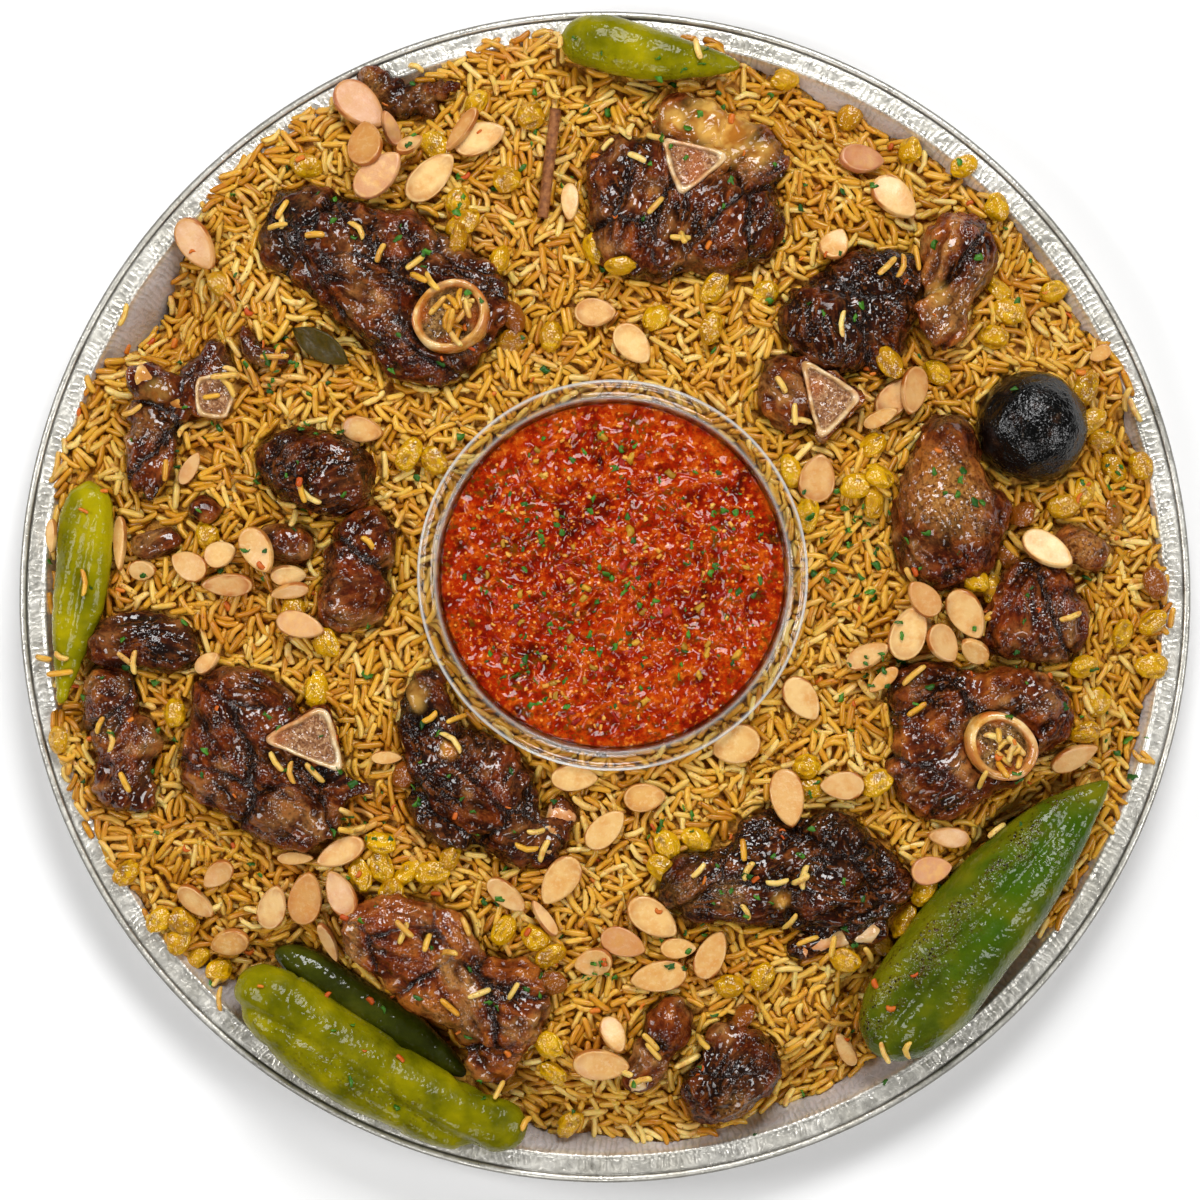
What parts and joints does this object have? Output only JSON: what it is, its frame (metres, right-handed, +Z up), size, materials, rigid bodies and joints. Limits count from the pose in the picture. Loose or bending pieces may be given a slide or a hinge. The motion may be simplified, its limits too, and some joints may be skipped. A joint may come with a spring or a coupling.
{
  "type": "plate of kabsa",
  "caption": "Round rolled-rim tray heaped with spiced rice, lamb pieces, long green peppers, almonds and raisins round a clear tub of chunky tomato sauce.",
  "frame": {"origin": "middle of the underside of the tray, on the surface that it stands on", "axes": "+Z up; +X to the right and +Y away, seen from above with the black lime at the upper right"},
  "size_m": [0.457, 0.457, 0.0573],
  "materials": {
    "tray": "bright pressed foil with an embossed rim band",
    "tub": "clear thin moulded plastic, glossy",
    "sauce": "wet chunky tomato sauce with herbs",
    "rice": "oily long-grain rice, spiced gold and brown",
    "lamb": "dark roasted meat with char and fat sheen",
    "pepper": "waxy cooked skin, wrinkled",
    "pepper_deep": "waxy cooked skin, dark",
    "lime": "dried black rind, uneven gloss",
    "cinnamon": "dry rolled bark",
    "leaf": "dry olive brown leaf",
    "almond": "roasted blanched almond, satin"
  },
  "bodies": {
    "root": {"almond_01": "almond", "almond_02": "almond", "almond_03": "almond", "almond_04": "almond", "almond_05": "almond", "almond_06": "almond", "almond_07": "almond", "almond_08": "almond", "almond_09": "almond", "almond_10": "almond", "almond_11": "almond", "almond_12": "almond", "almond_13": "almond", "almond_14": "almond", "almond_15": "almond", "almond_16": "almond", "almond_17": "almond", "almond_18": "almond", "almond_19": "almond", "almond_20": "almond", "almond_21": "almond", "almond_22": "almond", "almond_23": "almond", "bay_leaf": "leaf", "black_lime": "lime", "cinnamon_stick": "cinnamon", "meat_bits_left": "lamb", "meat_block": "lamb", "meat_bottom": "lamb", "meat_bottom_left": "lamb", "meat_diamond": "lamb", "meat_far_left": "lamb", "meat_left": "lamb", "meat_lower_left": "lamb", "meat_rib_bottom": "lamb", "meat_rib_left": "lamb", "meat_rib_small": "lamb", "meat_right": "lamb", "meat_right_flap": "lamb", "meat_shank_left": "lamb", "meat_shank_right": "lamb", "meat_shank_tub": "lamb", "meat_sliver_dark": "lamb", "meat_sliver_left": "lamb", "meat_top": "lamb", "meat_top_edge": "lamb", "meat_tub_left": "lamb", "meat_tub_left_end": "lamb", "meat_upper_right": "lamb", "meat_upper_right_end": "lamb", "meat_wedge_bone": "lamb", "pepper_bottom_left": "pepper", "pepper_dark": "pepper_deep", "pepper_left": "pepper", "pepper_right": "pepper", "pepper_top": "pepper", "rice": "rice", "sauce": "sauce", "tray": "tray", "tub": "tub"}
  },
  "joints": []
}
